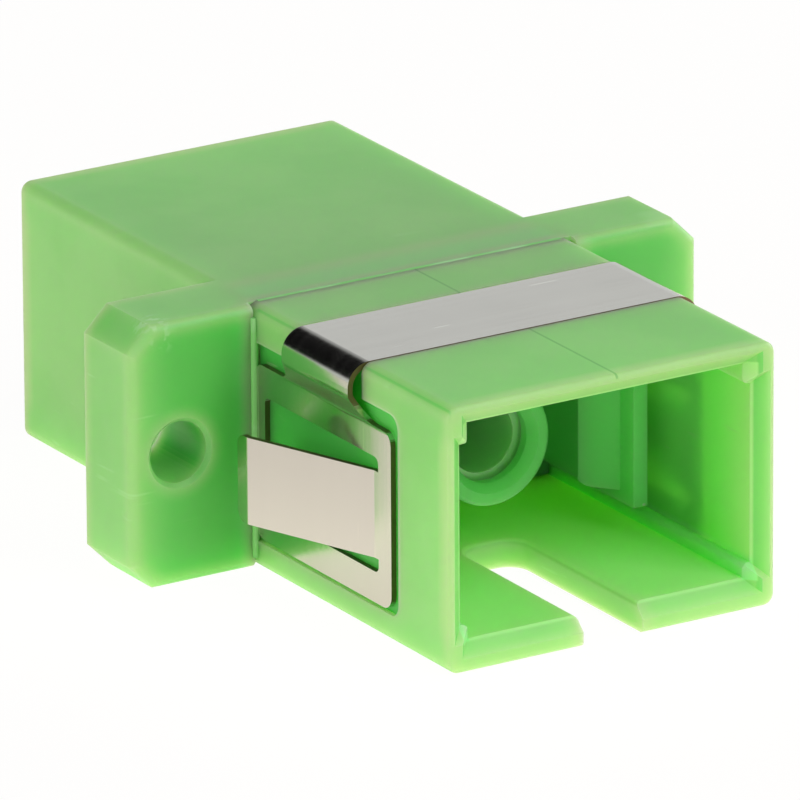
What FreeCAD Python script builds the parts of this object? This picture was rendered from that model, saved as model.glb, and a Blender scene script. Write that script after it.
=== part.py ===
"""SC simplex fibre adapter with a screw flange and a panel clip, in millimetres.

Frame: the optical axis is the Y axis and the flange's front face is y = 0.
The port that carries the panel clip opens towards -Y, the other one towards +Y.
X runs along the flange, and both key slots face down (-Z).
"""
import FreeCAD
import Part
import Sketcher
import os

doc = FreeCAD.newDocument("sc_fibre_adapter")

# ---------------------------------------------------------------- driving sizes
SIZES = [
    # plug ports
    ("port_width", 10.9, "between the guide ribs in the port corners"),
    ("port_height", 7.64, "floor to roof of a port"),
    ("port_relief", 0.3, "depth of the side relief between the guide ribs"),
    ("upper_rib", 0.74, "height of the two guide ribs under the roof"),
    ("lower_rib", 0.5, "height of the two guide ribs on the floor"),
    ("rib_edge", 0.2, "rounding along the free edge of each guide rib"),
    ("mouth_lead", 0.5, "chamfer round the inside of a mouth"),
    ("key_width", 2.35, "key slot in the floor of a port"),
    ("key_length", 8.0, "length of the key slot from the mouth"),
    ("key_corner", 0.8, "radius of the two inner slot corners"),
    ("key_lip", 0.2, "rounding of the slot's top edges"),
    # housing shells, 12.9 by 9.4 mm outside for a 13.0 by 9.5 mm cut-out
    ("side_wall", 1.0, "guide rib to the outside of a shell"),
    ("roof_wall", 0.76, "roof of a port to the top of a shell"),
    ("floor_wall", 1.0, "floor of a port to the underside of a shell"),
    ("front_reach", 12.45, "flange front face to the front mouth"),
    ("rear_reach", 12.6, "flange rear face to the rear mouth"),
    ("long_edge_radius", 0.4, "rounding of the four long edges of a shell"),
    ("mouth_edge_radius", 0.18, "rounding round the outside of a mouth"),
    ("shell_clearance", 0.03, "front shell to the flange rebate, each side"),
    # flange
    ("flange_thickness", 3.1, "ear thickness"),
    ("screw_spacing", 18.8, "distance between the two screw holes"),
    ("screw_hole", 2.2, "diameter of a screw hole"),
    ("screw_hole_lead", 0.15, "chamfer at the front of a screw hole"),
    ("ear_end", 1.95, "screw hole centre to the end of its ear"),
    ("flange_corner", 0.9, "45 degree cut on each ear corner"),
    ("neck_radius", 0.4, "hollow between the rear shell's sides and the ears"),
    ("ear_edge_radius", 0.3, "rounding round the front of the ears"),
    ("ear_back_radius", 0.15, "rounding round the back of the ears"),
    # latch inserts
    ("plate_thickness", 1.1, "insert plate, so the shells part at the flange middle less this"),
    ("plate_side_lap", 0.65, "how far an insert plate reaches past the port, each side"),
    ("plate_floor_lap", 0.35, "how far an insert plate reaches past the port floor, and as far up"),
    ("plate_clearance", 0.05, "insert plate to its seat, each side"),
    ("register_height", 0.3, "step that centres an insert in its port"),
    ("holder_wall", 0.55, "wall of the tube that holds the sleeve"),
    ("holder_lip", 0.65, "end wall that keeps the sleeve in"),
    ("lip_overlap", 0.15, "how far that wall covers the end of the sleeve"),
    ("holder_lead", 0.3, "chamfer where a ferrule enters"),
    ("holder_rim", 0.15, "rounding round the end of the tube"),
    ("arm_clearance", 0.15, "root of a latch arm to the guide ribs"),
    ("arm_root", 0.95, "arm thickness at the plate"),
    ("arm_tip", 0.55, "arm thickness at the free end"),
    ("arm_height", 5.1, "arm size along Z"),
    ("arm_reach", 8.45, "flange middle to the arm tip"),
    ("arm_fillet", 0.25, "hollow between an arm and the plate"),
    ("hook_rise", 0.95, "how far a hook stands out from its arm"),
    ("hook_height", 4.3, "hook size along Z"),
    ("hook_reach", 6.45, "flange middle to the hook crest"),
    ("hook_land", 0.1, "flat on the hook crest"),
    ("hook_ramp", 1.15, "length of the ramp that a plug pushes on"),
    ("hook_corner", 0.3, "rounding of the crest corners"),
    ("peg_diameter", 0.9, "location peg between the two plates"),
    ("peg_length", 0.6, "location peg"),
    ("peg_clearance", 0.05, "peg to its hole, each side"),
    ("peg_side_inset", 1.2, "peg centre to the side of the plate"),
    ("peg_roof_inset", 1.15, "peg centre to the top or bottom of the plate"),
    # alignment sleeve
    ("ferrule_diameter", 2.5, "ferrule that the sleeve lines up"),
    ("sleeve_wall", 0.35, "ceramic sleeve"),
    ("sleeve_length", 11.4, "ceramic sleeve"),
    ("sleeve_slit", 0.5, "slit along the sleeve"),
    ("sleeve_clearance", 0.05, "sleeve to its holder, each side"),
    ("sleeve_float", 0.2, "end play of the sleeve at each end"),
    # panel clip
    ("clip_sheet", 0.2, "thickness of the spring steel"),
    ("strip_start", 2.6, "flange front face to the strip over the roof"),
    ("strip_width", 4.25, "strip over the roof"),
    ("strip_clearance", 0.08, "strip to its groove, front and back"),
    ("bulge", 0.5, "how far the bends stand out from the shell"),
    ("bend_radius", 0.85, "outside radius of the bend at the roof"),
    ("knee_radius", 0.5, "outside radius of the two bends below it"),
    ("bulge_drop", 1.15, "roof to the start of the inward slope"),
    ("knee_drop", 2.0, "roof to the end of the inward slope"),
    ("side_gap", 0.06, "side plate to the flange"),
    ("side_length", 8.7, "side plate along Y"),
    ("side_below_roof", 1.95, "roof to the top of the side plate"),
    ("side_above_floor", 1.15, "underside of the shell to the bottom of the side plate"),
    ("side_corner", 0.5, "rounding of the side plate corners"),
    ("shoulder_radius", 0.9, "inside radius between the strip and the side plate"),
    ("window_rear_bar", 0.6, "metal behind the window"),
    ("window_front_bar", 0.8, "metal in front of the window"),
    ("window_long_bar", 1.1, "metal above and below the window"),
    ("window_corner", 0.25, "rounding of the window corners"),
    ("finger_slot", 0.5, "slot above and below the spring finger"),
    ("finger_root", 0.25, "flat start of the finger, between the ends of the slots and its fold"),
    ("finger_run", 5.05, "spring finger along Y, fold to bend"),
    ("finger_rise", 1.9, "how far the finger springs out"),
    ("finger_lip", 0.65, "straight lip at the free end"),
    ("finger_bend", 0.5, "outside radius of the finger bend"),
    ("lip_corner", 0.4, "rounding of the lip corners"),
    ("pocket_front", 0.45, "pocket floor left free in front of the side plate"),
    ("pocket_above", 0.7, "pocket floor left free above the side plate"),
    ("pocket_below", 0.15, "pocket floor left free below the side plate"),
    ("pocket_corner", 0.5, "rounding of the pocket corners"),
]

sheet = doc.addObject("Spreadsheet::Sheet", "sizes")
for row, (alias, millimetres, note) in enumerate(SIZES, start=1):
    sheet.set(f"A{row}", alias)
    sheet.set(f"B{row}", str(millimetres))
    sheet.setAlias(f"B{row}", alias)
    sheet.set(f"C{row}", note)
doc.recompute()

# Places and sizes that several pieces share, as expressions on the sheet.
BODY_WIDTH = "(sizes.port_width + 2 * sizes.side_wall)"
BODY_HEIGHT = "(sizes.port_height + sizes.roof_wall + sizes.floor_wall)"
SIDE = f"({BODY_WIDTH} / 2)"
ROOF = f"({BODY_HEIGHT} / 2)"
PORT_ROOF = f"({ROOF} - sizes.roof_wall)"
PORT_FLOOR = f"({ROOF} - sizes.floor_wall)"
MIDDLE = "(sizes.flange_thickness / 2)"
SEAM = f"({MIDDLE} - sizes.plate_thickness)"
SEAT_END = f"({MIDDLE} + sizes.plate_thickness)"
GROOVE_SIDE = f"({SIDE} - sizes.clip_sheet)"
GROOVE_ROOF = f"({ROOF} - sizes.clip_sheet)"
SIDE_TOP = f"({ROOF} - sizes.side_below_roof)"
SIDE_BOTTOM = f"({ROOF} - sizes.side_above_floor)"
PLATE_WIDTH = "(sizes.port_width + 2 * sizes.plate_side_lap)"
PLATE_HEIGHT = f"(2 * ({PORT_FLOOR} + sizes.plate_floor_lap))"
SLEEVE_DIAMETER = "(sizes.ferrule_diameter + 2 * sizes.sleeve_wall)"
HOLDER_BORE = f"({SLEEVE_DIAMETER} + 2 * sizes.sleeve_clearance)"
HOLDER_REACH = "(sizes.sleeve_length / 2 + sizes.sleeve_float + sizes.holder_lip)"
BEYOND = 1.0  # how far a cutting outline runs past the solid
NEAR = 1e-3  # two places closer than this are the same


def number(expression):
    """The value of an expression on the sheet."""
    return float(sheet.evalExpression(expression))


# ------------------------------------------------------------- drawing helpers
def new_body(name):
    """An empty PartDesign body."""
    body = doc.addObject("PartDesign::Body", name)
    body.Label = name
    return body


def new_sketch(body, plane, name, offset="0"):
    """A sketch on one of the body's origin planes, shifted along its normal."""
    sketch = body.newObject("Sketcher::SketchObject", name)
    support = next(part for part in body.Origin.OriginFeatures if part.Role == plane)
    sketch.AttachmentSupport = (support, [""])
    sketch.MapMode = "FlatFace"
    sketch.setExpression("AttachmentOffset.Base.z", offset)
    return sketch


def hold_point(sketch, geometry, vertex, horizontal, vertical):
    """Hold one point of a sketch at two distances that follow the sheet."""
    for kind, expression in (("DistanceX", horizontal), ("DistanceY", vertical)):
        distance = Sketcher.Constraint(kind, -1, 1, geometry, vertex, number(expression))
        index = sketch.addConstraint(distance)
        name = f"{kind}_{geometry}"
        sketch.renameConstraint(index, name)
        sketch.setExpression(f"Constraints.{name}", expression)


def draw_outline(sketch, corners):
    """A closed outline through corners given as pairs of expressions.

    A corner with four expressions starts a quarter arc about the second pair.
    """
    points = [FreeCAD.Vector(number(corner[0]), number(corner[1]), 0) for corner in corners]
    first = sketch.GeometryCount
    starts = []
    ends = []
    for index, corner in enumerate(corners):
        start = points[index]
        end = points[(index + 1) % len(points)]
        if len(corner) == 2:
            sketch.addGeometry(Part.LineSegment(start, end), False)
        else:
            centre = FreeCAD.Vector(number(corner[2]), number(corner[3]), 0)
            outwards = (start + end - centre * 2).normalize()
            halfway = centre + outwards * (start - centre).Length
            sketch.addGeometry(Part.Arc(start, halfway, end), False)
        forwards = sketch.getPoint(first + index, 1).distanceToPoint(start) < NEAR
        starts.append(1 if forwards else 2)
        ends.append(2 if forwards else 1)
    for index, corner in enumerate(corners):
        after = (index + 1) % len(corners)
        joint = ("Coincident", first + index, ends[index], first + after, starts[after])
        sketch.addConstraint(Sketcher.Constraint(*joint))
        hold_point(sketch, first + index, starts[index], corner[0], corner[1])
        if len(corner) == 4:
            radius = f"abs({corner[0]} - ({corner[2]})) + abs({corner[1]} - ({corner[3]}))"
            size = sketch.addConstraint(Sketcher.Constraint("Radius", first + index, number(radius)))
            sketch.renameConstraint(size, f"radius_{index}")
            sketch.setExpression(f"Constraints.radius_{index}", radius)


def draw_rectangle(sketch, width, height):
    """A rectangle centred on the sketch origin."""
    draw_span(sketch, f"-({width}) / 2", f"({width}) / 2", f"-({height}) / 2", f"({height}) / 2")


def draw_span(sketch, left, right, low, high):
    """A rectangle between two pairs of places."""
    draw_outline(sketch, [(left, low), (right, low), (right, high), (left, high)])


def draw_circle(sketch, diameter, across="0", up="0"):
    """A circle whose centre and diameter follow the sheet."""
    centre = FreeCAD.Vector(number(across), number(up), 0)
    index = sketch.addGeometry(Part.Circle(centre, FreeCAD.Vector(0, 0, 1), number(diameter) / 2), False)
    hold_point(sketch, index, 3, across, up)
    size = sketch.addConstraint(Sketcher.Constraint("Diameter", index, number(diameter)))
    sketch.renameConstraint(size, f"diameter_{index}")
    sketch.setExpression(f"Constraints.diameter_{index}", diameter)


def add_pad(body, sketch, length, reverse=False, symmetric=False):
    """Extrude a sketch, and add it to the body."""
    pad = body.newObject("PartDesign::Pad", sketch.Name + "_pad")
    pad.Profile = sketch
    pad.setExpression("Length", length)
    pad.Reversed = reverse
    pad.SideType = "Symmetric" if symmetric else "One side"
    doc.recompute()
    return pad


def add_pocket(body, sketch, length=None, reverse=False):
    """Cut a sketch out of the body, right through where no length is given."""
    before = body.Shape.Volume
    pocket = body.newObject("PartDesign::Pocket", sketch.Name + "_pocket")
    pocket.Profile = sketch
    pocket.Reversed = reverse
    if length is None:
        pocket.Type = "ThroughAll"
    else:
        pocket.setExpression("Length", length)
    doc.recompute()
    if body.Shape.Volume > before - NEAR:
        raise RuntimeError(f"{pocket.Name} cuts nothing")
    return pocket


def mirror_across(body, features, name):
    """Repeat features on the other side of the YZ plane."""
    mirrored = body.newObject("PartDesign::Mirrored", name)
    mirrored.Originals = features
    support = next(part for part in body.Origin.OriginFeatures if part.Role == "YZ_Plane")
    mirrored.MirrorPlane = (support, [""])
    body.Tip = mirrored
    doc.recompute()
    return mirrored


def edges_in(body, along=None, **spans):
    """Names of the body's edges that lie in the given x, y and z spans.

    along keeps only the straight edges that run in that direction.
    """
    names = []
    for index, edge in enumerate(body.Shape.Edges, start=1):
        box = edge.BoundBox
        low = dict(x=box.XMin, y=box.YMin, z=box.ZMin)
        high = dict(x=box.XMax, y=box.YMax, z=box.ZMax)
        inside = all(
            low[axis] > start - NEAR and high[axis] < end + NEAR for axis, (start, end) in spans.items()
        )
        if along is not None:
            flat = all(high[axis] - low[axis] < NEAR for axis in "xyz" if axis != along)
            inside = inside and flat
        if inside:
            names.append(f"Edge{index}")
    if not names:
        raise RuntimeError(f"no edge of {body.Name} lies in {spans}")
    return names


def dress(body, kind, name, edges, size):
    """Round (Fillet) or bevel (Chamfer) edges of the body."""
    base = body.Tip
    feature = body.newObject(f"PartDesign::{kind}", name)
    feature.Base = (base, edges)
    feature.setExpression("Radius" if kind == "Fillet" else "Size", size)
    doc.recompute()
    if not feature.Shape.isValid() or "Invalid" in feature.State:
        raise RuntimeError(f"{name} failed on {edges}")
    return feature


def at(expression):
    """A span that holds only the plane at this place."""
    place = number(expression)
    return (place, place)


def both_sides(expression):
    """A span from minus to plus this distance."""
    reach = number(expression)
    return (-reach, reach)


# --------------------------------------------------------------- housing shells
def cut_port(body, mouth, towards):
    """The plug port of a shell: its section, lead-in and key slot.

    mouth is the place of the mouth on Y, and towards is -1 for a port that opens
    towards -Y and 1 for one that opens towards +Y. The side walls are relieved
    between four guide ribs, so that the latch arms can spring outwards.
    """
    rib_x = "sizes.port_width / 2"
    relief_x = "(sizes.port_width / 2 + sizes.port_relief)"
    upper_z = f"({PORT_ROOF} - sizes.upper_rib)"
    lower_z = f"({PORT_FLOOR} - sizes.lower_rib)"
    right = [
        (rib_x, PORT_ROOF), (rib_x, upper_z), (relief_x, upper_z),
        (relief_x, f"-{lower_z}"), (rib_x, f"-{lower_z}"), (rib_x, f"-{PORT_FLOOR}"),
    ]
    left = [(f"-{across}", up) for across, up in reversed(right)]
    section = new_sketch(body, "XZ_Plane", f"{body.Name}_port", f"-({mouth})")
    draw_outline(section, right + left)
    add_pocket(body, section, reverse=towards > 0)

    opening = (number(f"-{PORT_FLOOR}"), number(PORT_ROOF))
    rim = edges_in(body, x=both_sides(relief_x), z=opening, y=at(mouth))
    dress(body, "Chamfer", f"{body.Name}_mouth_lead", rim, "sizes.mouth_lead")
    ribs = [
        name
        for sign in (-1, 1)
        for up in (upper_z, f"-{lower_z}")
        for name in edges_in(body, along="y", x=at(f"{sign} * {rib_x}"), z=at(up))
    ]
    dress(body, "Fillet", f"{body.Name}_rib_edges", ribs, "sizes.rib_edge")

    key_end = f"({mouth}) - ({towards}) * sizes.key_length"
    key_start = f"({mouth}) + ({towards}) * {BEYOND}"
    slot = new_sketch(body, "XY_Plane", f"{body.Name}_key_slot")
    low, high = (key_start, key_end) if towards < 0 else (key_end, key_start)
    draw_span(slot, "-sizes.key_width / 2", "sizes.key_width / 2", low, high)
    add_pocket(body, slot)
    across = both_sides("sizes.key_width / 2")
    corners = edges_in(body, along="z", x=across, y=at(key_end))
    dress(body, "Fillet", f"{body.Name}_key_corners", corners, "sizes.key_corner")
    lips = edges_in(body, x=across, z=at(f"-{PORT_FLOOR}"))
    dress(body, "Fillet", f"{body.Name}_key_lips", lips, "sizes.key_lip")


def shell_block(body, start, length, forwards):
    """The rounded outer block of a shell, from start along Y."""
    section = new_sketch(body, "XZ_Plane", f"{body.Name}_block", f"-({start})")
    flat_x = f"({SIDE} - sizes.long_edge_radius)"
    flat_z = f"({ROOF} - sizes.long_edge_radius)"
    draw_outline(section, [
        (f"-{flat_x}", f"-{ROOF}"), (flat_x, f"-{ROOF}", flat_x, f"-{flat_z}"),
        (SIDE, f"-{flat_z}"), (SIDE, flat_z, flat_x, flat_z),
        (flat_x, ROOF), (f"-{flat_x}", ROOF, f"-{flat_x}", flat_z),
        (f"-{SIDE}", flat_z), (f"-{SIDE}", f"-{flat_z}", f"-{flat_x}", f"-{flat_z}"),
    ])
    add_pad(body, section, length, reverse=not forwards)
    mouth = f"({start}) - ({length})" if forwards else f"({start}) + ({length})"
    rim = edges_in(body, y=at(mouth))
    dress(body, "Fillet", f"{body.Name}_mouth_edges", rim, "sizes.mouth_edge_radius")


def make_front_housing():
    """Front shell: a plain box port that carries the panel clip in its grooves."""
    body = new_body("front_housing")
    shell_block(body, SEAM, f"{SEAM} + sizes.front_reach", forwards=True)
    cut_port(body, "-sizes.front_reach", -1)

    groove = new_sketch(
        body, "XZ_Plane", "strip_groove", "sizes.strip_start - sizes.strip_clearance"
    )
    outside = f"({SIDE} + {BEYOND})"
    above = f"({ROOF} + {BEYOND})"
    draw_outline(groove, [
        (f"-{outside}", "0"), (f"-{GROOVE_SIDE}", "0"), (f"-{GROOVE_SIDE}", GROOVE_ROOF),
        (GROOVE_SIDE, GROOVE_ROOF), (GROOVE_SIDE, "0"), (outside, "0"),
        (outside, above), (f"-{outside}", above),
    ])
    groove_length = "sizes.strip_width + 2 * sizes.strip_clearance"
    add_pocket(body, groove, groove_length, reverse=True)

    front = "-(sizes.side_gap + sizes.side_length + sizes.pocket_front)"
    for sign, side in ((-1, "left"), (1, "right")):
        pocket = new_sketch(body, "YZ_Plane", f"{side}_pocket", f"{sign} * {GROOVE_SIDE}")
        low = f"-({SIDE_BOTTOM} + sizes.pocket_below)"
        draw_span(pocket, front, "0", low, f"{SIDE_TOP} + sizes.pocket_above")
        add_pocket(body, pocket, f"sizes.clip_sheet + {BEYOND}", reverse=sign > 0)

    front_corners = edges_in(body, along="x", y=at(front))
    dress(body, "Fillet", "pocket_corners", front_corners, "sizes.pocket_corner")
    bend_edges = [
        name
        for sign in (-1, 1)
        for name in edges_in(body, along="y", x=at(f"{sign} * {GROOVE_SIDE}"), z=at(GROOVE_ROOF))
    ]
    dress(body, "Fillet", "groove_bends", bend_edges, "sizes.long_edge_radius")
    return body


def make_rear_housing():
    """Rear shell: the other port, moulded in one piece with the screw flange."""
    body = new_body("rear_housing")
    ear_x = "(sizes.screw_spacing / 2 + sizes.ear_end)"
    cut_x = f"({ear_x} - sizes.flange_corner)"
    cut_z = f"({ROOF} - sizes.flange_corner)"
    flange = new_sketch(body, "XZ_Plane", "flange")
    draw_outline(flange, [
        (f"-{cut_x}", f"-{ROOF}"), (cut_x, f"-{ROOF}"), (ear_x, f"-{cut_z}"), (ear_x, cut_z),
        (cut_x, ROOF), (f"-{cut_x}", ROOF), (f"-{ear_x}", cut_z), (f"-{ear_x}", f"-{cut_z}"),
    ])
    add_pad(body, flange, "sizes.flange_thickness", reverse=True)
    dress(body, "Fillet", "flange_front_edges", edges_in(body, y=at("0")), "sizes.ear_edge_radius")
    back_edges = edges_in(body, y=at("sizes.flange_thickness"))
    dress(body, "Fillet", "flange_back_edges", back_edges, "sizes.ear_back_radius")
    shell_block(body, MIDDLE, f"{MIDDLE} + sizes.rear_reach", forwards=False)
    for sign, side in ((-1, "left"), (1, "right")):
        hollow = new_sketch(body, "XY_Plane", f"{side}_neck")
        wall = f"{sign} * {SIDE}"
        out = f"{sign} * ({SIDE} + sizes.neck_radius)"
        behind = "(sizes.flange_thickness + sizes.neck_radius)"
        inside = "(sizes.flange_thickness - sizes.neck_radius / 2)"
        draw_outline(hollow, [
            (wall, inside), (out, inside), (out, "sizes.flange_thickness", out, behind), (wall, behind),
        ])
        add_pad(body, hollow, f"{BODY_HEIGHT} - 2 * sizes.long_edge_radius", symmetric=True)
    cut_port(body, "(sizes.flange_thickness + sizes.rear_reach)", 1)

    seat = new_sketch(body, "XZ_Plane", "plate_seat")
    draw_rectangle(
        seat, f"{PLATE_WIDTH} + 2 * sizes.plate_clearance", f"{PLATE_HEIGHT} + 2 * sizes.plate_clearance"
    )
    add_pocket(body, seat, SEAT_END)
    rebate = new_sketch(body, "XZ_Plane", "shell_rebate")
    draw_rectangle(rebate, f"{BODY_WIDTH} + 2 * sizes.shell_clearance", f"{BODY_HEIGHT} + {BEYOND}")
    add_pocket(body, rebate, SEAM)

    holes = new_sketch(body, "XZ_Plane", "screw_holes")
    for sign in (-1, 1):
        draw_circle(holes, "sizes.screw_hole", f"{sign} * sizes.screw_spacing / 2")
    add_pocket(body, holes)
    for sign, side in ((-1, "left"), (1, "right")):
        centre = number(f"{sign} * sizes.screw_spacing / 2")
        radius = number("sizes.screw_hole / 2")
        rim = edges_in(body, x=(centre - radius, centre + radius), z=(-radius, radius), y=at("0"))
        dress(body, "Chamfer", f"{side}_hole_lead", rim, "sizes.screw_hole_lead")
    return body


# --------------------------------------------------------------- latch inserts
def make_latch_insert(name, turned):
    """Plate, sleeve holder and two latch arms, moulded in one piece.

    It is drawn for the front port about the flange middle. The same moulding,
    turned half round about Z, serves the rear port.
    """
    body = new_body(name)
    plate = new_sketch(body, "XZ_Plane", f"{name}_plate")
    draw_rectangle(plate, PLATE_WIDTH, PLATE_HEIGHT)
    add_pad(body, plate, "sizes.plate_thickness")
    step = new_sketch(body, "XZ_Plane", f"{name}_step", "sizes.plate_thickness")
    step_x = "(sizes.port_width / 2 - sizes.plate_clearance)"
    step_floor = f"-({PORT_FLOOR} - sizes.plate_clearance)"
    draw_span(step, f"-{step_x}", step_x, step_floor, f"{PORT_ROOF} - sizes.plate_clearance")
    add_pad(body, step, "sizes.register_height")

    arm_inside = "(sizes.port_width / 2 - sizes.arm_clearance - sizes.arm_root)"
    crest_x = f"({arm_inside} - sizes.hook_rise)"
    arm = new_sketch(body, "XY_Plane", f"{name}_arm")
    draw_outline(arm, [
        (arm_inside, "0"),
        (arm_inside, "-sizes.arm_reach"),
        (f"{arm_inside} + sizes.arm_tip", "-sizes.arm_reach"),
        (f"{arm_inside} + sizes.arm_root", "0"),
    ])
    right_arm = add_pad(body, arm, "sizes.arm_height", symmetric=True)
    hook = new_sketch(body, "XY_Plane", f"{name}_hook")
    draw_outline(hook, [
        (f"{arm_inside} + sizes.arm_tip / 2", "-(sizes.hook_reach - sizes.hook_land)"),
        (crest_x, "-(sizes.hook_reach - sizes.hook_land)"),
        (crest_x, "-sizes.hook_reach"),
        (arm_inside, "-(sizes.hook_reach + sizes.hook_ramp)"),
        (f"{arm_inside} + sizes.arm_tip / 2", "-(sizes.hook_reach + sizes.hook_ramp)"),
    ])
    right_hook = add_pad(body, hook, "sizes.hook_height", symmetric=True)
    mirror_across(body, [right_arm, right_hook], f"{name}_left_arm")
    step_face = "-(sizes.plate_thickness + sizes.register_height)"
    roots = [
        edge
        for sign in (-1, 1)
        for edge in edges_in(body, along="z", x=at(f"{sign} * {arm_inside}"), y=at(step_face))
    ]
    dress(body, "Fillet", f"{name}_arm_roots", roots, "sizes.arm_fillet")

    holder = new_sketch(body, "XZ_Plane", f"{name}_holder")
    draw_circle(holder, f"{HOLDER_BORE} + 2 * sizes.holder_wall")
    add_pad(body, holder, HOLDER_REACH)
    bore = new_sketch(body, "XZ_Plane", f"{name}_bore")
    draw_circle(bore, HOLDER_BORE)
    add_pocket(body, bore, f"{HOLDER_REACH} - sizes.holder_lip", reverse=True)
    entry_hole = f"({SLEEVE_DIAMETER} - 2 * sizes.lip_overlap)"
    entry = new_sketch(body, "XZ_Plane", f"{name}_entry")
    draw_circle(entry, entry_hole)
    add_pocket(body, entry, HOLDER_REACH, reverse=True)
    tube_end = at(f"-{HOLDER_REACH}")
    lead = edges_in(body, x=both_sides(f"{entry_hole} / 2"), y=tube_end)
    dress(body, "Chamfer", f"{name}_lead", lead, "sizes.holder_lead")
    inner_rim = edges_in(body, x=both_sides(f"{entry_hole} / 2 + sizes.holder_lead"), y=tube_end)
    outer_rim = [edge for edge in edges_in(body, y=tube_end) if edge not in inner_rim]
    dress(body, "Fillet", f"{name}_rim", outer_rim, "sizes.holder_rim")

    peg = new_sketch(body, "XZ_Plane", f"{name}_peg")
    peg_hole = new_sketch(body, "XZ_Plane", f"{name}_peg_hole")
    peg_x = f"({PLATE_WIDTH} / 2 - sizes.peg_side_inset)"
    peg_z = f"({PLATE_HEIGHT} / 2 - sizes.peg_roof_inset)"
    for up in (peg_z, f"-{peg_z}"):
        draw_circle(peg, "sizes.peg_diameter", peg_x, up)
        draw_circle(peg_hole, "sizes.peg_diameter + 2 * sizes.peg_clearance", f"-{peg_x}", up)
    add_pad(body, peg, "sizes.peg_length", reverse=True)
    add_pocket(body, peg_hole, "sizes.peg_length + 2 * sizes.peg_clearance", reverse=True)

    for sign, side in ((-1, "left"), (1, "right")):
        crest = at(f"{sign} * {crest_x}")
        corners = [
            edge
            for up in ("sizes.hook_height / 2", "-sizes.hook_height / 2")
            for edge in edges_in(body, x=crest, z=at(up))
        ]
        dress(body, "Fillet", f"{name}_{side}_crest", corners, "sizes.hook_corner")
    body.setExpression("Placement.Base.y", MIDDLE)
    if turned:
        body.Placement.Rotation = FreeCAD.Rotation(FreeCAD.Vector(0, 0, 1), 180)
    return body


# ------------------------------------------------------------- alignment sleeve
def make_split_sleeve():
    """Ceramic tube with one slit, which grips and lines up the two ferrules."""
    body = new_body("split_sleeve")
    ring = new_sketch(body, "XZ_Plane", "sleeve_ring", f"-({MIDDLE})")
    draw_circle(ring, SLEEVE_DIAMETER)
    draw_circle(ring, "sizes.ferrule_diameter")
    add_pad(body, ring, "sizes.sleeve_length", symmetric=True)
    slit = new_sketch(body, "XY_Plane", "sleeve_slit")
    half = f"(sizes.sleeve_length / 2 + {BEYOND})"
    draw_span(
        slit, "-sizes.sleeve_slit / 2", "sizes.sleeve_slit / 2",
        f"{MIDDLE} - {half}", f"{MIDDLE} + {half}",
    )
    add_pocket(body, slit, reverse=True)
    return body


# ------------------------------------------------------------------ panel clip
def round_bend(body, name, along, outer, hollow, radius):
    """Round both faces of a bend, the hollow one first, so that the sheet keeps its thickness.

    outer and hollow give the place of each sharp edge on the two axes across it.
    """
    for face, place, size in (
        ("hollow", hollow, f"{radius} - sizes.clip_sheet"),
        ("outer", outer, radius),
    ):
        spans = {axis: at(expression) for axis, expression in place.items()}
        dress(body, "Fillet", f"{name}_{face}", edges_in(body, along=along, **spans), size)


def fold_offset(rise, run):
    """How far a corner of the inner face lies along the sheet from the outer one."""
    slope = f"(({rise}) / ({run}))"
    return f"(sizes.clip_sheet * (sqrt(1 + {slope} ^ 2) - 1) / {slope})"


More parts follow.
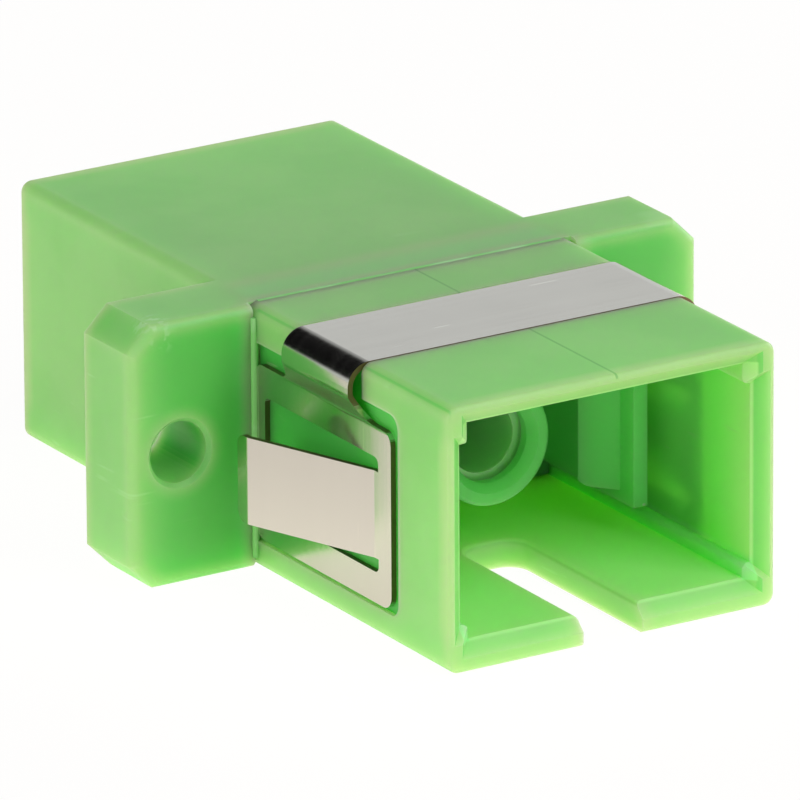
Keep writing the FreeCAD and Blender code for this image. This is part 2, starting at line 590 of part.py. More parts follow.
def make_panel_clip():
    """One folded piece of spring steel: roof strip, two side plates, two fingers.

    The left half is drawn with sharp folds, which are then rounded on both
    faces, and the right half is its mirror image.
    """
    body = new_body("left_half_clip")
    rear = "-sizes.side_gap"
    front = "-(sizes.side_gap + sizes.side_length)"
    strip_rear = "-sizes.strip_start"
    strip_front = "-(sizes.strip_start + sizes.strip_width)"

    # The folded profile, seen along the optical axis.
    outer_x = f"({SIDE} + sizes.bulge)"
    inner_x = f"({outer_x} - sizes.clip_sheet)"
    upper_z = f"({ROOF} - sizes.bulge_drop)"
    lower_z = f"({ROOF} - sizes.knee_drop)"
    shift = fold_offset("sizes.bulge", "sizes.knee_drop - sizes.bulge_drop")
    profile = new_sketch(body, "XZ_Plane", "clip_profile", "sizes.side_gap")
    draw_outline(profile, [
        ("0", ROOF), (f"-{outer_x}", ROOF), (f"-{outer_x}", upper_z), (f"-{SIDE}", lower_z),
        (f"-{SIDE}", f"-{SIDE_BOTTOM}"), (f"-{GROOVE_SIDE}", f"-{SIDE_BOTTOM}"),
        (f"-{GROOVE_SIDE}", f"{lower_z} + {shift}"), (f"-{inner_x}", f"{upper_z} + {shift}"),
        (f"-{inner_x}", GROOVE_ROOF), ("0", GROOVE_ROOF),
    ])
    add_pad(body, profile, "sizes.side_length")
    round_bend(
        body, "roof_bend", "y",
        dict(x=f"-{outer_x}", z=ROOF),
        dict(x=f"-{inner_x}", z=GROOVE_ROOF),
        "sizes.bend_radius",
    )
    round_bend(
        body, "upper_knee", "y",
        dict(x=f"-{outer_x}", z=upper_z),
        dict(x=f"-{inner_x}", z=f"{upper_z} + {shift}"),
        "sizes.knee_radius",
    )
    round_bend(
        body, "lower_knee", "y",
        dict(x=f"-{GROOVE_SIDE}", z=f"{lower_z} + {shift}"),
        dict(x=f"-{SIDE}", z=lower_z),
        "sizes.knee_radius",
    )

    # The strip is narrower than the side plate, with rounded shoulders between them.
    radius = "sizes.shoulder_radius"
    above = f"({ROOF} + {BEYOND})"
    waste = new_sketch(body, "YZ_Plane", "beside_strip")
    draw_outline(waste, [
        (strip_rear, above),
        (strip_rear, f"{SIDE_TOP} + {radius}", f"{strip_rear} + {radius}", f"{SIDE_TOP} + {radius}"),
        (f"{strip_rear} + {radius}", SIDE_TOP), (f"{BEYOND}", SIDE_TOP), (f"{BEYOND}", above),
    ])
    draw_outline(waste, [
        (strip_front, above), (f"{front} - {BEYOND}", above), (f"{front} - {BEYOND}", SIDE_TOP),
        (f"{strip_front} - {radius}", SIDE_TOP, f"{strip_front} - {radius}", f"{SIDE_TOP} + {radius}"),
        (strip_front, f"{SIDE_TOP} + {radius}"),
    ])
    add_pocket(body, waste)

    window_front = f"({front} + sizes.window_front_bar)"
    window_rear = f"({rear} - sizes.window_rear_bar)"
    window = new_sketch(body, "YZ_Plane", "finger_window", f"-{SIDE}")
    window_top = f"({SIDE_TOP} - sizes.window_long_bar)"
    window_bottom = f"(-{SIDE_BOTTOM} + sizes.window_long_bar)"
    draw_span(window, window_front, window_rear, window_bottom, window_top)
    add_pocket(body, window, f"sizes.clip_sheet + {BEYOND}", reverse=True)
    window_ends = edges_in(
        body, along="x", y=(number(window_front), number(window_rear)),
        z=(number(window_bottom), number(window_top)),
    )
    dress(body, "Fillet", "window_corners", window_ends, "sizes.window_corner")
    plate_ends = edges_in(body, along="x", y=at(front)) + edges_in(body, along="x", y=at(rear))
    dress(body, "Fillet", "side_corners", plate_ends, "sizes.side_corner")

    # The spring finger leaves the front bar of the window and ends in a straight lip.
    tip_x = f"({SIDE} + sizes.finger_rise)"
    fold_y = f"({window_front} + sizes.finger_root)"
    bend_y = f"({fold_y} + sizes.finger_run)"
    end_y = f"({bend_y} + sizes.finger_lip)"
    root_y = f"({window_front} - sizes.window_front_bar / 2)"
    shift = fold_offset("sizes.finger_rise", "sizes.finger_run")
    finger = new_sketch(body, "XY_Plane", "finger", f"({window_top} + {window_bottom}) / 2")
    draw_outline(finger, [
        (f"-{SIDE}", root_y), (f"-{SIDE}", fold_y), (f"-{tip_x}", bend_y), (f"-{tip_x}", end_y),
        (f"-({tip_x} - sizes.clip_sheet)", end_y),
        (f"-({tip_x} - sizes.clip_sheet)", f"{bend_y} + {shift}"),
        (f"-{GROOVE_SIDE}", f"{fold_y} + {shift}"), (f"-{GROOVE_SIDE}", root_y),
    ])
    finger_width = f"{window_top} - {window_bottom} - 2 * sizes.finger_slot"
    add_pad(body, finger, finger_width, symmetric=True)
    round_bend(
        body, "finger_tip_bend", "z",
        dict(x=f"-{tip_x}", y=bend_y),
        dict(x=f"-({tip_x} - sizes.clip_sheet)", y=f"{bend_y} + {shift}"),
        "sizes.finger_bend",
    )
    lip_ends = edges_in(body, along="x", y=at(end_y))
    dress(body, "Fillet", "lip_corners", lip_ends, "sizes.lip_corner")

    mirrored = doc.addObject("Part::Mirroring", "right_half_clip")
    mirrored.Source = body
    mirrored.Base = FreeCAD.Vector(0, 0, 0)
    mirrored.Normal = FreeCAD.Vector(1, 0, 0)
    clip = doc.addObject("Part::Fuse", "panel_clip")
    clip.Base = body
    clip.Tool = mirrored
    clip.Refine = True
    clip.Label = "panel_clip"
    doc.recompute()
    return clip


NODES = [
    make_front_housing(),
    make_rear_housing(),
    make_latch_insert("front_latch_insert", turned=False),
    make_latch_insert("rear_latch_insert", turned=True),
    make_split_sleeve(),
    make_panel_clip(),
]

# ------------------------------------------------------------------ check, write
doc.recompute()
for item in doc.Objects:
    if "Invalid" in item.State or "Error" in item.State:
        raise RuntimeError(f"{item.Name} is {item.State}")
os.makedirs("parts", exist_ok=True)
for node in NODES:
    shape = node.Shape
    if shape.isNull() or not shape.isValid() or len(shape.Solids) != 1:
        raise RuntimeError(f"{node.Label} is not one valid solid")
    shape.exportStep(f"parts/{node.Label}.step")
    print(f"{node.Label}: {shape.Volume:.2f} mm3")
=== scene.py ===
"""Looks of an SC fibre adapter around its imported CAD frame, in metres."""
import bpy
import math
from mathutils import Matrix, Vector


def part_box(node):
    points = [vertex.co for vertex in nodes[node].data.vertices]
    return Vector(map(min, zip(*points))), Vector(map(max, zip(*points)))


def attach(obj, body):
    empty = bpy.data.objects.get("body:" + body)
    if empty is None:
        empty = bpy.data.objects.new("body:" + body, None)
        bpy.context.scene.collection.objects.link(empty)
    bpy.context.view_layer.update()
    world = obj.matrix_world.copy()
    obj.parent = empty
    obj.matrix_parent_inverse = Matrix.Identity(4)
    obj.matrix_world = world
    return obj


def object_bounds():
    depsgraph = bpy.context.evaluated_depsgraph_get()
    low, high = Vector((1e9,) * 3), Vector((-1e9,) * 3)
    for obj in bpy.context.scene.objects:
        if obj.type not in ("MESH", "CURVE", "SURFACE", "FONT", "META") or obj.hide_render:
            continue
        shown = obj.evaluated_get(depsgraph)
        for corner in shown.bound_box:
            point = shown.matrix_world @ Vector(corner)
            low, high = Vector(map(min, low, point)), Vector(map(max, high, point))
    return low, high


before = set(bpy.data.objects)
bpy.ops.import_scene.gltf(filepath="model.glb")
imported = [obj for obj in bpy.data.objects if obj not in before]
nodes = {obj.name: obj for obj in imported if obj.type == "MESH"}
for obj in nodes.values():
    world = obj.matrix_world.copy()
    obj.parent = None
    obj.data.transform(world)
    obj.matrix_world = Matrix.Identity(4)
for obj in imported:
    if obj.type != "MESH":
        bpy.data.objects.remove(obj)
cad_low, cad_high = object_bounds()
MM = 0.001

# ------------------------------------------------------------------ front and rear housings
# The two shells are injection moulded in one green thermoplastic that lets a little light
# through; the paler glow of thin walls and edges, the glow of the port walls and the deeper green
# of shaded places are painted light and shade in the colour. The spark-eroded mould leaves
# a fine grain, cooling leaves the faces slightly uneven, and handling adds specks and scuffs.


def shader_group(name, inputs, outputs):
    """An empty node group with float sockets, and the sockets of its two end nodes."""
    tree = bpy.data.node_groups.new(name, "ShaderNodeTree")
    for label, value in inputs:
        tree.interface.new_socket(label, in_out="INPUT", socket_type="NodeSocketFloat").default_value = value
    for label in outputs:
        tree.interface.new_socket(label, in_out="OUTPUT", socket_type="NodeSocketFloat")
    return tree, tree.nodes.new("NodeGroupInput").outputs, tree.nodes.new("NodeGroupOutput").inputs


def add(tree, kind, links=None, **settings):
    """A node with its settings, and its inputs set to values or linked to sockets."""
    node = tree.nodes.new(kind)
    for name, value in settings.items():
        setattr(node, name, value)
    for name, value in (links or {}).items():
        if isinstance(value, bpy.types.NodeSocket):
            tree.links.new(value, node.inputs[name])
        else:
            node.inputs[name].default_value = value
    return node


def math_node(tree, operation, a, b=0.0, c=0.0):
    """A Math node's output."""
    return add(tree, "ShaderNodeMath", {0: a, 1: b, 2: c}, operation=operation).outputs[0]


def product(tree, first, *others):
    """Several masks multiplied."""
    for other in others:
        first = math_node(tree, "MULTIPLY", first, other)
    return first


def size_of(tree, value):
    """A value without its sign."""
    return math_node(tree, "ABSOLUTE", value)


def ramp(tree, value, low, high, start=0.0, end=1.0):
    """A value stretched smoothly from one range to another."""
    links = {"Value": value, "From Min": low, "From Max": high, "To Min": start, "To Max": end}
    return add(tree, "ShaderNodeMapRange", links, interpolation_type="SMOOTHSTEP").outputs["Result"]


def noise(tree, scale, detail=3.0, stretch=(1, 1, 1)):
    """Noise fixed to the object, closer together along an axis where its stretch is larger."""
    place = add(tree, "ShaderNodeTexCoord").outputs["Object"]
    if stretch != (1, 1, 1):
        place = add(tree, "ShaderNodeMapping", {"Vector": place, "Scale": stretch}).outputs[0]
    return add(tree, "ShaderNodeTexNoise", {"Vector": place, "Scale": scale, "Detail": detail}).outputs["Fac"]


def moulded_grain():
    """Fine uneven gloss, height and tone of a moulded surface."""
    tree, inner, outer = shader_group(
        "moulded grain",
        [("Grain", 9000.0), ("Waviness", 260.0), ("Rough", 0.40), ("Spread", 0.12)],
        ["Roughness", "Height", "Tone"],
    )
    fine = noise(tree, inner["Grain"])
    wide = noise(tree, inner["Waviness"])
    uneven = math_node(tree, "SUBTRACT", wide, 0.5)
    rough = math_node(tree, "MULTIPLY_ADD", uneven, inner["Spread"], inner["Rough"])
    height = math_node(tree, "MULTIPLY_ADD", wide, 6.0, fine)
    tree.links.new(rough, outer["Roughness"])
    tree.links.new(height, outer["Height"])
    tree.links.new(ramp(tree, wide, 0.35, 0.65), outer["Tone"])
    return tree


def thin_edges():
    """How little stock lies under the surface: 1 along sharp edges, 0 on broad faces."""
    tree, inner, outer = shader_group("thin edges", [("Reach", 0.0007)], ["Thin"])
    buried = add(
        tree, "ShaderNodeAmbientOcclusion", {"Distance": inner["Reach"]}, samples=2, inside=True, only_local=True,
    )
    tree.links.new(ramp(tree, buried.outputs["AO"], 0.97, 0.45), outer["Thin"])
    return tree


def painted_light_zones():
    """Masks fixed to the part that place painted light and shade: the inside of the ports and its
    zones, where a glow is painted, and the solid flange, the places beside the weld and under the clip, where shade
    is painted."""
    tree, inner, outer = shader_group(
        "painted light zones",
        [
            ("Port Side", 5.75 * MM), ("Port Roof", 3.94 * MM), ("Port Floor", -3.7 * MM),
            ("Guide Side", 5.41 * MM), ("Guide Top", -3.05 * MM),
            ("Flange Back", 3.1 * MM), ("Flange Front", 0.0), ("Weld", 0.44 * MM), ("Shell Side", 6.45 * MM),
        ],
        ["Port", "Painted Shade", "Seam", "Pocket", "Clip Shade", "Deep", "Guide"],
    )
    place = add(tree, "ShaderNodeTexCoord").outputs["Object"]
    x, y, z = add(tree, "ShaderNodeSeparateXYZ", {0: place}).outputs
    across = size_of(tree, x)
    normal = add(tree, "ShaderNodeNewGeometry").outputs["True Normal"]
    facing = add(tree, "ShaderNodeSeparateXYZ", {0: normal}).outputs
    upward = ramp(tree, facing["Z"], 0.5, 0.9)
    forward = ramp(tree, size_of(tree, facing["Y"]), 0.5, 0.9)
    sideways = ramp(tree, size_of(tree, facing["X"]), 0.5, 0.9)

    # Inside the ports, where a glow is painted: between the relieved sides, under the roof and over the floor.
    gone, full = 0.12 * MM, 0.04 * MM    # how far past a port's wall its mask ends, and still holds
    beside = ramp(tree, math_node(tree, "SUBTRACT", across, inner["Port Side"]), gone, full)
    under = ramp(tree, math_node(tree, "SUBTRACT", z, inner["Port Roof"]), gone, full)
    over = ramp(tree, math_node(tree, "SUBTRACT", inner["Port Floor"], z), gone, full)
    port = product(tree, beside, under, over)
    inboard = math_node(tree, "SUBTRACT", across, inner["Guide Side"])
    low = math_node(tree, "SUBTRACT", z, inner["Guide Top"])
    guide = product(tree, ramp(tree, inboard, -0.03 * MM, 0.03 * MM), ramp(tree, low, 0.15 * MM, -0.15 * MM), port)

    # Painted shade on the solid flange, deepest at the ears' roots beside the shell and on every face but the top.
    middle = math_node(tree, "MULTIPLY", inner["Flange Back"], 0.5)
    along = size_of(tree, math_node(tree, "SUBTRACT", y, middle))
    flange = ramp(tree, math_node(tree, "SUBTRACT", along, middle), 0.4 * MM, -0.1 * MM)
    ear_tip = ramp(tree, across, 11.7 * MM, 9.4 * MM, 0.0, 0.8)
    ear_root = ramp(tree, across, 9.4 * MM, 6.4 * MM, 0.0, 0.2)
    outward = math_node(tree, "ADD", ear_tip, ear_root)
    painted_shade = product(tree, flange, outward, math_node(tree, "SUBTRACT", 1.0, upward))

    # Painted shade beside the weld: the flange's top behind it, and the ears' faces next to the shell.
    behind = math_node(tree, "SUBTRACT", y, inner["Weld"])
    weld_shade = product(
        tree, upward, ramp(tree, behind, -0.02 * MM, 0.02 * MM), ramp(tree, behind, 1.96 * MM, 0.96 * MM),
        ramp(tree, across, 6.4 * MM, 5.7 * MM),
    )
    corner = product(tree, flange, ramp(tree, across, 7.6 * MM, 6.5 * MM), forward)

    # Painted shade under the clip, where the steel keeps light out: the floors of its side pockets, and the port
    # walls that they thin.
    covered = product(tree, sideways, ramp(tree, y, inner["Flange Front"], -0.1 * MM))
    outside = math_node(tree, "SUBTRACT", across, inner["Shell Side"])
    pocket = product(
        tree, covered, ramp(tree, outside, -0.05 * MM, -0.13 * MM), ramp(tree, outside, -0.70 * MM, -0.60 * MM),
    )
    clip_shade = product(
        tree, covered, ramp(tree, y, -12.4 * MM, -8.4 * MM), ramp(tree, across, 5.60 * MM, 5.68 * MM), port,
    )
    for label, mask in (
        ("Port", port), ("Painted Shade", painted_shade), ("Seam", math_node(tree, "MAXIMUM", weld_shade, corner)), ("Pocket", pocket),
        ("Clip Shade", clip_shade), ("Deep", ramp(tree, along, 10.0 * MM, 6.2 * MM)), ("Guide", guide),
    ):
        tree.links.new(mask, outer[label])
    return tree


def specks_and_scuffs():
    """Rare dust specks and short hairline scuffs, each a mask."""
    tree, inner, outer = shader_group(
        "specks and scuffs", [("Spacing", 420.0), ("Size", 0.055), ("Scuff", 0.5)], ["Speck", "Scuff"],
    )
    place = add(tree, "ShaderNodeTexCoord").outputs["Object"]
    cells = add(tree, "ShaderNodeTexVoronoi", {"Vector": place, "Scale": inner["Spacing"]})
    luck = add(tree, "ShaderNodeSeparateColor", {"Color": cells.outputs["Color"]}).outputs["Red"]
    radius = math_node(tree, "MULTIPLY", ramp(tree, luck, 0.72, 1.0), inner["Size"])
    near = math_node(tree, "DIVIDE", cells.outputs["Distance"], math_node(tree, "MAXIMUM", radius, 0.0001))
    speck = ramp(tree, near, 1.0, 0.6)
    streak = noise(tree, 900.0, 2.0, (0.15, 0.35, 3.0))
    patch = noise(tree, 340.0, 2.0)
    scuff = math_node(tree, "MULTIPLY", ramp(tree, streak, 0.66, 0.72), ramp(tree, patch, 0.50, 0.62))
    tree.links.new(speck, outer["Speck"])
    tree.links.new(math_node(tree, "MULTIPLY", scuff, inner["Scuff"]), outer["Scuff"])
    return tree


grain_group, edge_group = moulded_grain(), thin_edges()
zone_group, speck_group = painted_light_zones(), specks_and_scuffs()


def new_material(name):
    """A material that holds only a Principled BSDF, with its tree and that shader."""
    material = bpy.data.materials.new(name)
    material.use_nodes = True
    tree = material.node_tree
    return material, tree, tree.nodes["Principled BSDF"]


def blend(tree, factor, first, second):
    """A colour between two, each a colour or a socket."""
    first = first if isinstance(first, bpy.types.NodeSocket) else (*first, 1)
    second = second if isinstance(second, bpy.types.NodeSocket) else (*second, 1)
    node = tree.nodes.new("ShaderNodeMix")
    node.data_type = "RGBA"
    ends = [socket for socket in node.inputs if socket.type == "RGBA"]
    for socket, value in zip([node.inputs[0], *ends], [factor, first, second]):
        if isinstance(value, bpy.types.NodeSocket):
            tree.links.new(value, socket)
        else:
            socket.default_value = value
    return next(socket for socket in node.outputs if socket.type == "RGBA")


def moulding_marks(tree):
    """The witness line of the mould's slide, and a pale swirl on a flange corner."""
    line_x, line_end, line_level = 0.15 * MM, 0.47 * MM, 4.55 * MM
    swirl_place, swirl_reach = (-10.1 * MM, 0.6 * MM, 4.2 * MM), 0.9 * MM
    strength = 0.7
    place = add(tree, "ShaderNodeTexCoord").outputs["Object"]
    x, y, z = add(tree, "ShaderNodeSeparateXYZ", {0: place}).outputs
    aside = size_of(tree, math_node(tree, "SUBTRACT", x, line_x))
    line = product(
        tree, ramp(tree, aside, 0.07 * MM, 0.02 * MM), ramp(tree, y, line_end + 0.03 * MM, line_end - 0.03 * MM),
        ramp(tree, z, line_level - 0.05 * MM, line_level + 0.05 * MM), strength,
    )
    gap = add(tree, "ShaderNodeVectorMath", {0: place, 1: swirl_place}, operation="DISTANCE").outputs["Value"]
    curl = noise(tree, 2600.0, 2.0, (1, 2, 1))
    swirl = product(
        tree, ramp(tree, gap, swirl_reach, swirl_reach / 3), ramp(tree, curl, 0.5, 0.62), strength,
    )
    return (line, (0.14, 0.48, 0.11)), (swirl, (0.66, 0.86, 0.60))


def green_plastic(name, rough, colour, drift, edge, painted_shade, port, deep):
    """Translucent moulded plastic whose tone drifts. Its thin edges are painted paler as a glow, shaded places
    are painted a deeper green as shade, and the walls of the ports are painted with a glow for the light they pass."""
    # Painted shade beside the weld and behind the clip, and a less pale painted glow on the guides in the ports.
    weld_shade, clip_shade, guide = (0.15, 0.84, 0.16), (0.17, 0.88, 0.14), (0.34, 0.86, 0.30)
    scuff, dust = (0.42, 0.78, 0.32), (0.72, 0.86, 0.66)
    material, tree, shader = new_material(name)
    surface = add(tree, "ShaderNodeGroup", node_tree=grain_group)
    surface.inputs["Rough"].default_value = rough
    thin = add(tree, "ShaderNodeGroup", node_tree=edge_group).outputs["Thin"]
    marks = add(tree, "ShaderNodeGroup", node_tree=speck_group)
    stock = add(tree, "ShaderNodeGroup", node_tree=zone_group).outputs
    body = blend(tree, surface.outputs["Tone"], colour, drift)
    # Painted shade on the flange's ears by the shell, beside the weld and in the clip's pockets, and a paler painted
    # glow on thin edges.
    body = blend(tree, stock["Painted Shade"], body, painted_shade)
    body = blend(tree, stock["Seam"], body, weld_shade)
    body = blend(tree, thin, body, edge)
    body = blend(tree, stock["Pocket"], body, painted_shade)
    # The port walls are painted with a glow for the light they pass, changing deeper in, with painted shade where
    # the clip backs them, and a less pale glow on the guides.
    glow = blend(tree, stock["Deep"], port, deep)
    glow = blend(tree, math_node(tree, "MULTIPLY", stock["Clip Shade"], 0.85), glow, clip_shade)
    glow = blend(tree, stock["Guide"], glow, guide)
    body = blend(tree, stock["Port"], body, glow)
    for mark, tint in moulding_marks(tree):
        body = blend(tree, mark, body, tint)
    body = blend(tree, marks.outputs["Scuff"], body, scuff)
    body = blend(tree, marks.outputs["Speck"], body, dust)
    bump = add(tree, "ShaderNodeBump", {"Height": surface.outputs["Height"], "Strength": 0.25, "Distance": 2e-6})
    tree.links.new(body, shader.inputs["Base Color"])
    tree.links.new(surface.outputs["Roughness"], shader.inputs["Roughness"])
    tree.links.new(bump.outputs["Normal"], shader.inputs["Normal"])
    shader.inputs["Subsurface Weight"].default_value = 0.85
    shader.inputs["Subsurface Radius"].default_value = (0.66, 0.97, 0.50)
    shader.inputs["Subsurface Scale"].default_value = 3.0 * MM
    shader.inputs["IOR"].default_value = 1.5
    return material


def dress_node(name, material):
    """Give a CAD node one material."""
    slots = nodes[name].data.materials
    slots.clear()
    slots.append(material)


# Its paler edges, deeper green in shade and glowing port walls are painted light and shade.
shell_green = green_plastic(
    "shell green", rough=0.40, colour=(0.28, 0.68, 0.19), drift=(0.32, 0.71, 0.22), edge=(0.41, 0.70, 0.27),
    painted_shade=(0.08, 0.62, 0.08), port=(0.44, 0.87, 0.30), deep=(0.48, 0.86, 0.32),
)
dress_node("front_housing", shell_green)
dress_node("rear_housing", shell_green)

# ------------------------------------------------------------------ weld line
# The two shells are welded together where the front one sits in the flange. A little melt
# stands out of the joint as a fine uneven line over the top and bottom and down the corners.
melt, tree, shader = new_material("weld melt")
drift = ramp(tree, noise(tree, 500.0, 3.0), 0.45, 0.65)
tree.links.new(blend(tree, drift, (0.26, 0.74, 0.20), (0.42, 0.80, 0.36)), shader.inputs["Base Color"])
tree.links.new(ramp(tree, drift, 0.3, 0.7, 0.45, 0.65), shader.inputs["Roughness"])
shell_low, shell_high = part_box("front_housing")
seam_y = shell_high.y
seam_radius, seam_sink, corner_radius = 0.32 * MM, 0.30 * MM, 0.14 * MM
inset = 0.4 * MM
melt_runs = []
for level, sink in ((shell_high.z, -seam_sink), (shell_low.z, seam_sink)):
    left, right = shell_low.x + inset, shell_high.x - inset
    melt_runs.append(((left, seam_y, level + sink), (right, seam_y, level + sink), seam_radius))
for side in (shell_low.x, shell_high.x):
    melt_runs.append(((side, 0, shell_low.z + inset), (side, 0, shell_high.z - inset), corner_radius))


def melt_tree():
    """Geometry nodes that turn each edge into a run of melt whose thickness wanders."""
    tree = bpy.data.node_groups.new("melt run", "GeometryNodeTree")
    tree.interface.new_socket("Runs", in_out="INPUT", socket_type="NodeSocketGeometry")
    for label, kind, value in (
        ("Points", "NodeSocketInt", 61),
        ("Unevenness", "NodeSocketFloat", 0.012 * MM),
        ("Wander", "NodeSocketFloat", 1800.0),
        ("Seed", "NodeSocketFloat", 7.0),
    ):
        tree.interface.new_socket(label, in_out="INPUT", socket_type=kind).default_value = value
    tree.interface.new_socket("Material", in_out="INPUT", socket_type="NodeSocketMaterial")
    tree.interface.new_socket("Melt", in_out="OUTPUT", socket_type="NodeSocketGeometry")
    given = tree.nodes.new("NodeGroupInput").outputs
    path = add(tree, "GeometryNodeMeshToCurve", {"Mesh": given["Runs"]}).outputs[0]
    path = add(tree, "GeometryNodeResampleCurve", {"Curve": path, "Count": given["Points"]}).outputs[0]
    spot = add(tree, "GeometryNodeInputPosition").outputs[0]
    links = {"Vector": spot, "W": given["Seed"], "Scale": given["Wander"]}
    drift = add(tree, "ShaderNodeTexNoise", links, noise_dimensions="4D").outputs["Fac"]
    swing = math_node(tree, "MULTIPLY", math_node(tree, "SUBTRACT", drift, 0.5), given["Unevenness"])
    width = add(tree, "GeometryNodeInputNamedAttribute", {"Name": "melt radius"}, data_type="FLOAT")
    radius = math_node(tree, "ADD", width.outputs["Attribute"], swing)
    circle = add(tree, "GeometryNodeCurvePrimitiveCircle", {"Resolution": 16, "Radius": 1.0}).outputs["Curve"]
    links = {"Curve": path, "Profile Curve": circle, "Scale": radius, "Fill Caps": True}
    body = add(tree, "GeometryNodeCurveToMesh", links).outputs[0]
    body = add(tree, "GeometryNodeSetShadeSmooth", {"Geometry": body}).outputs[0]
    body = add(tree, "GeometryNodeRealizeInstances", {"Geometry": body}).outputs[0]
    body = add(tree, "GeometryNodeSetMaterial", {"Geometry": body, "Material": given["Material"]}).outputs[0]
    tree.links.new(body, tree.nodes.new("NodeGroupOutput").inputs[0])
    return tree


run_mesh = bpy.data.meshes.new("melt_runs")
ends = [point for start, end, radius in melt_runs for point in (start, end)]
run_mesh.from_pydata(ends, [(2 * run, 2 * run + 1) for run in range(len(melt_runs))], [])
widths = run_mesh.attributes.new("melt radius", "FLOAT", "POINT")
widths.data.foreach_set("value", [radius for start, end, radius in melt_runs for point in (start, end)])
scene = bpy.context.scene
weld_line = bpy.data.objects.new("weld_line", run_mesh)
scene.collection.objects.link(weld_line)
maker = weld_line.modifiers.new("melt", "NODES")
maker.node_group = melt_tree()
sockets = {item.name: item.identifier for item in maker.node_group.interface.items_tree}
maker[sockets["Material"]] = melt
bpy.context.view_layer.update()
weld_mesh = bpy.data.meshes.new_from_object(weld_line.evaluated_get(bpy.context.evaluated_depsgraph_get()))
weld_line.modifiers.clear()
weld_line.data = weld_mesh
bpy.data.meshes.remove(run_mesh)
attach(weld_line, "root")

# ------------------------------------------------------------------ latch inserts
# Each insert is moulded on its own in the same green: a back plate, two latch arms and the
# sleeve holder. It sits deep in the ports, where only green light reaches it, so its colour is
# painted a deeper green for that light, and its edge glow, shade and port glow are painted too.
# Its gloss is a touch duller than the shells'.
insert_green = green_plastic(
    "insert green", rough=0.42, colour=(0.13, 0.68, 0.13), drift=(0.16, 0.71, 0.16), edge=(0.24, 0.80, 0.22),
    painted_shade=(0.13, 0.80, 0.13), port=(0.19, 0.85, 0.20), deep=(0.19, 0.85, 0.20),
)
dress_node("front_latch_insert", insert_green)
dress_node("rear_latch_insert", insert_green)

# ----------------------------------------------------------------- split sleeve
# The sleeve is an off-white slit ceramic tube that floats in the holder. Light reaches it
# only through the green plastic, so its colour is painted green for that light, with a paler
# painted glow at its thin edges. Grinding leaves fine lines round it.
ceramic, tree, shader = new_material("ground ceramic")
lines = noise(tree, 1500.0, 4.0, (0.15, 9.0, 0.15))
clouds = noise(tree, 700.0, 2.0)
# Painted green light on the off-white ceramic, and a paler painted glow at its thin edges.
body = blend(tree, clouds, (0.44, 0.92, 0.40), (0.48, 0.94, 0.44))
thin = add(tree, "ShaderNodeGroup", node_tree=edge_group)
thin.inputs["Reach"].default_value = 0.2 * MM
body = blend(tree, thin.outputs["Thin"], body, (0.50, 0.90, 0.46))
bump = add(tree, "ShaderNodeBump", {"Height": lines, "Strength": 0.2, "Distance": 1e-6})
tree.links.new(body, shader.inputs["Base Color"])
tree.links.new(ramp(tree, lines, 0.3, 0.7, 0.16, 0.26), shader.inputs["Roughness"])
tree.links.new(bump.outputs["Normal"], shader.inputs["Normal"])
shader.inputs["Subsurface Weight"].default_value = 1.0
shader.inputs["Subsurface Radius"].default_value = (0.7, 1.0, 0.5)
shader.inputs["Subsurface Scale"].default_value = 0.6 * MM
shader.inputs["IOR"].default_value = 2.1
dress_node("split_sleeve", ceramic)

# ------------------------------------------------------------------- panel clip
# The clip is blanked from bright rolled stainless strip and folded over the body. The rolls
# leave streaks along it, and its cut edges are coloured dark brown and made rougher.
steel, tree, shader = new_material("rolled spring steel")
streak = noise(tree, 900.0, 3.0, (0.05, 5.0, 0.05))
cloud = noise(tree, 330.0, 3.0)
scratch_run = noise(tree, 1400.0, 2.0, (0.04, 6.0, 0.05))
scratch_patch = noise(tree, 500.0, 2.0)
scratch = product(tree, ramp(tree, scratch_run, 0.70, 0.75), ramp(tree, scratch_patch, 0.52, 0.60))
normal = add(tree, "ShaderNodeNewGeometry").outputs["True Normal"]
place = add(tree, "ShaderNodeTexCoord").outputs["Object"]
facing = add(tree, "ShaderNodeSeparateXYZ", {0: normal}).outputs
spot = add(tree, "ShaderNodeSeparateXYZ", {0: place}).outputs
side_plate = ramp(tree, spot["Z"], 3.6 * MM, 3.0 * MM)
cut_across = ramp(tree, size_of(tree, facing["Y"]), 0.80, 0.95)
cut_level = product(tree, ramp(tree, size_of(tree, facing["Z"]), 0.80, 0.95), side_plate)
cut = math_node(tree, "MAXIMUM", cut_across, cut_level)
sheet = blend(tree, streak, (0.61, 0.595, 0.56), (0.64, 0.625, 0.59))
sheet = blend(tree, scratch, sheet, (0.80, 0.78, 0.73))
sheet = blend(tree, cut, sheet, (0.20, 0.14, 0.08))
gloss = ramp(tree, streak, 0.30, 0.70, 0.11, 0.15)
gloss = math_node(tree, "MULTIPLY_ADD", cloud, 0.06, gloss)
gloss = math_node(tree, "MULTIPLY_ADD", cut, 0.22, gloss)
relief = math_node(tree, "MULTIPLY_ADD", cloud, 8.0, streak)
bump = add(tree, "ShaderNodeBump", {"Height": relief, "Strength": 0.25, "Distance": 2e-6})
tree.links.new(sheet, shader.inputs["Base Color"])
tree.links.new(gloss, shader.inputs["Roughness"])
tree.links.new(bump.outputs["Normal"], shader.inputs["Normal"])
shader.inputs["Metallic"].default_value = 1.0
dress_node("panel_clip", steel)

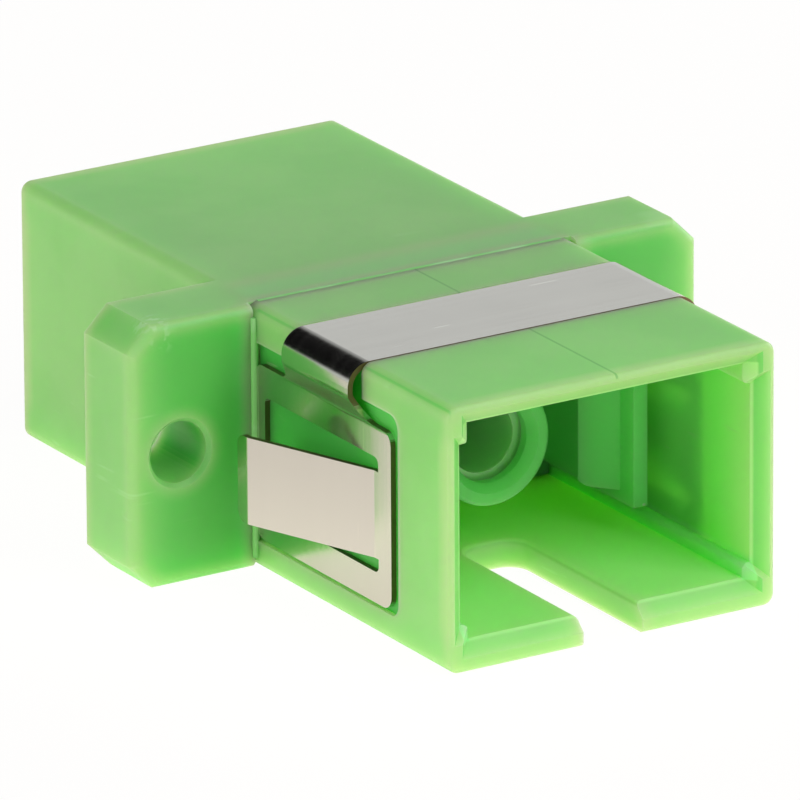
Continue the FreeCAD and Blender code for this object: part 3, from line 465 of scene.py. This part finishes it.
# ------------------------------------------------------------- lit table and studio
# The object stands on white paper over a lit table, so some light reaches it from below.
# The camera sees that paper as plain white, with the object's faint shadow left in it.
scene.view_settings.view_transform = "Standard"
floor_mesh = bpy.data.meshes.new("floor")
reach = 600 * MM
floor_z = cad_low.z - 0.03 * MM    # just under the lowest melt
corners = [(-reach, -reach, floor_z), (reach, -reach, floor_z), (reach, reach, floor_z), (-reach, reach, floor_z)]
floor_mesh.from_pydata(corners, [], [(0, 1, 2, 3)])
floor = bpy.data.objects.new("floor", floor_mesh)
scene.collection.objects.link(floor)
paper, tree, shader = new_material("white paper")
shader.inputs["Base Color"].default_value = (0.90, 0.85, 0.77, 1)
shader.inputs["Roughness"].default_value = 0.9
shader.inputs["Emission Color"].default_value = (1.0, 0.88, 0.79, 1)
lit_middle, lit_edge, plain_white_share = 0.70, 0.39, 0.92
place = add(tree, "ShaderNodeTexCoord").outputs["Object"]
from_middle = add(tree, "ShaderNodeVectorMath", {0: place}, operation="LENGTH").outputs["Value"]
table_light = ramp(tree, from_middle, 10 * MM, 28 * MM, lit_middle, lit_edge)
tree.links.new(table_light, shader.inputs["Emission Strength"])
glow = add(tree, "ShaderNodeEmission", {"Strength": 1.0})
camera_ray = add(tree, "ShaderNodeLightPath").outputs["Is Camera Ray"]
share = math_node(tree, "MULTIPLY", camera_ray, plain_white_share)
mixed = add(tree, "ShaderNodeMixShader", {0: share, 1: shader.outputs[0], 2: glow.outputs[0]})
tree.links.new(mixed.outputs[0], tree.nodes["Material Output"].inputs["Surface"])
floor.data.materials.append(paper)

# The studio round the object: pale walls, a dimmer ceiling and a dark opening high behind
# the rear port, which only reflections see. Matt surfaces get an even soft light, and
# three soft boxes light everything.
world = bpy.data.worlds.new("studio")
scene.world = world
world.use_nodes = True
tree = world.node_tree
even = tree.nodes["Background"]
even.inputs["Color"].default_value = (0.95, 1.0, 1.0, 1)
even.inputs["Strength"].default_value = 0.22
direction = add(tree, "ShaderNodeTexCoord").outputs["Generated"]
bearing = add(tree, "ShaderNodeSeparateXYZ", {0: direction}).outputs
wall_light, ceiling_light = 0.79, 0.44
lean = ramp(tree, bearing["X"], 0.0, -0.5, 0.0, 0.32)
height = math_node(tree, "ADD", bearing["Z"], lean)
dark = product(
    tree, ramp(tree, height, 0.36, 0.52), ramp(tree, bearing["Y"], 0.45, 0.65), ramp(tree, bearing["Z"], 0.85, 0.72),
)
open_room = ramp(tree, bearing["Z"], 0.30, 0.80, wall_light, ceiling_light)
band = math_node(tree, "MULTIPLY", open_room, math_node(tree, "SUBTRACT", 1.0, dark))
mirrored = add(tree, "ShaderNodeBackground", {"Color": (0.98, 1.0, 0.99, 1), "Strength": band})
white = add(tree, "ShaderNodeBackground", {"Color": (1, 1, 1, 1), "Strength": 1.0})
path = add(tree, "ShaderNodeLightPath")
seen = math_node(tree, "MAXIMUM", path.outputs["Is Glossy Ray"], path.outputs["Is Transmission Ray"])
first = add(tree, "ShaderNodeMixShader", {0: seen, 1: even.outputs[0], 2: mirrored.outputs[0]})
last = add(tree, "ShaderNodeMixShader", {0: path.outputs["Is Camera Ray"], 1: first.outputs[0], 2: white.outputs[0]})
tree.links.new(last.outputs[0], tree.nodes["World Output"].inputs["Surface"])


def soft_light(name, place, power):
    """A square soft box, 300 mm across, that faces the object."""
    lamp = bpy.data.lights.new(name, "AREA")
    lamp.size = 300 * MM
    lamp.energy = power
    holder = bpy.data.objects.new(name, lamp)
    holder.location = place
    holder.rotation_euler = Vector(place).to_track_quat("Z", "Y").to_euler()
    scene.collection.objects.link(holder)


soft_light("left box", (-0.45, 0.02, 0.15), 0.62)
soft_light("front box", (0.14, -0.32, 0.36), 1.0)
soft_light("right box", (0.45, -0.02, 0.18), 0.7)

# ----------------------------------------------------------------------- camera
# A long lens half a metre away looks down on the left front corner of the adapter.
camera = bpy.data.cameras.new("camera")
camera.sensor_width = 36
camera.lens = 644.45
camera.clip_start = 0.01
camera.clip_end = 10
holder = bpy.data.objects.new("camera", camera)
aim = Vector((-0.00024, 0.000719, -0.000058))
azimuth, elevation, distance, roll = math.radians(-31.601), math.radians(19.512), 0.48851, math.radians(-0.326)
towards = Vector((
    math.sin(azimuth) * math.cos(elevation), -math.cos(azimuth) * math.cos(elevation), math.sin(elevation),
))
turn = towards.to_track_quat("Z", "Y") @ Matrix.Rotation(roll, 3, "Z").to_quaternion()
holder.matrix_world = Matrix.Translation(aim + towards * distance) @ turn.to_matrix().to_4x4()
scene.collection.objects.link(holder)
scene.camera = holder
